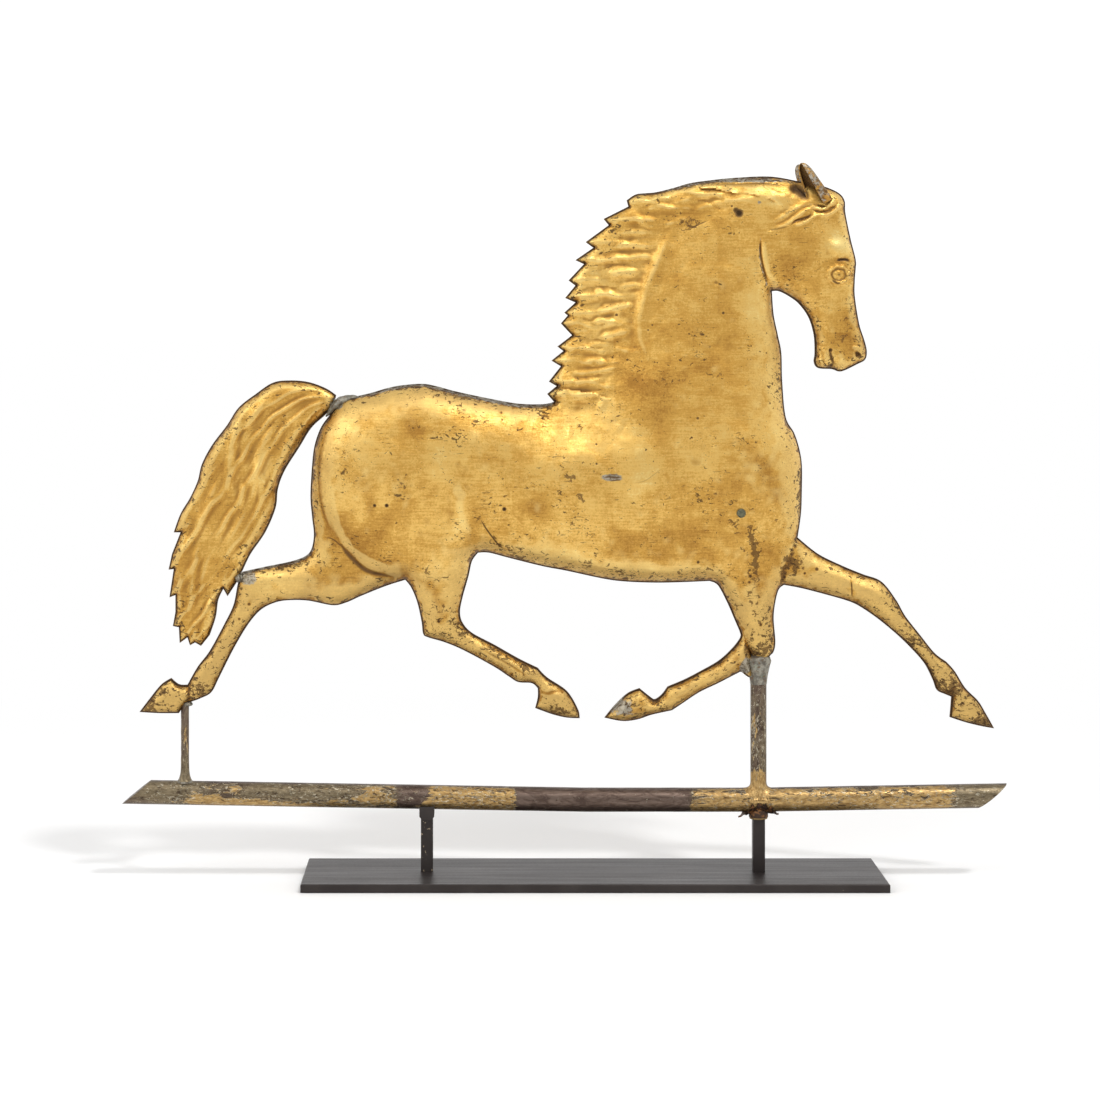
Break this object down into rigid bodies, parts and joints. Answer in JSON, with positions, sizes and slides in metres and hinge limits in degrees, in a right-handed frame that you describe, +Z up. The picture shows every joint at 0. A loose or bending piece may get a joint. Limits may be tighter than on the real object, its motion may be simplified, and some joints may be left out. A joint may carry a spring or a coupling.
{
  "type": "weathervane",
  "caption": "Running-horse weathervane of gilded sheet copper on an arrow bar, turning on a spindle above a black steel display stand.",
  "frame": {"origin": "middle of the whole object's footprint, on the surface that the base plate stands on", "axes": "+X the way the horse faces, along the arrow bar; +Y the horse's left side; +Z up"},
  "size_m": [0.7016, 0.1016, 0.5686],
  "materials": {
    "gilt_copper": "worn gold leaf over sheet copper, satin, with dark pits",
    "worn_gilt": "gilding worn to brown copper, rough",
    "old_solder": "dull grey tin solder",
    "bare_copper": "oxidised copper",
    "bearing_brass": "turned brass",
    "black_paint": "satin black paint on steel",
    "bright_steel": "turned steel"
  },
  "bodies": {
    "stand": {"base_plate": "black_paint", "main_post": "black_paint", "spindle_pin": "bright_steel", "cradle_post": "black_paint", "cradle": "black_paint", "main_post_screw": "bright_steel", "cradle_post_screw": "bright_steel"},
    "pivot_bush": {"pivot_bush": "bearing_brass"},
    "vane": {"right_body_shell": "gilt_copper", "left_body_shell": "gilt_copper", "right_tail_shell": "gilt_copper", "left_tail_shell": "gilt_copper", "right_ear": "gilt_copper", "left_ear": "gilt_copper", "right_foreleg_lower": "gilt_copper", "tail_root_solder": "old_solder", "hock_solder": "old_solder", "knee_solder": "old_solder", "chest_rivet": "bare_copper", "tube_strap": "bare_copper", "spindle_tube": "worn_gilt", "tube_cap": "bearing_brass", "bar_rear_tube": "worn_gilt", "bar_front_tube": "worn_gilt", "bar_joint_sleeve": "bare_copper", "bar_rear_plate": "worn_gilt", "bar_front_plate": "worn_gilt", "socket_collar": "bare_copper", "socket_patch": "bare_copper", "rear_strut": "worn_gilt", "strut_foot_solder": "old_solder", "strut_top_solder": "old_solder"}
  },
  "joints": [
    {"name": "vane_spin", "type": "hinge", "parent": "stand", "child": "pivot_bush", "pos_m": [0.15402, 0, 0.048], "axis": [0, 0, 1], "range_deg": [-350, 0]},
    {"name": "vane_lift", "type": "slide", "parent": "pivot_bush", "child": "vane", "axis": [0, 0, 1], "range_m": [0, 0.25]}
  ]
}
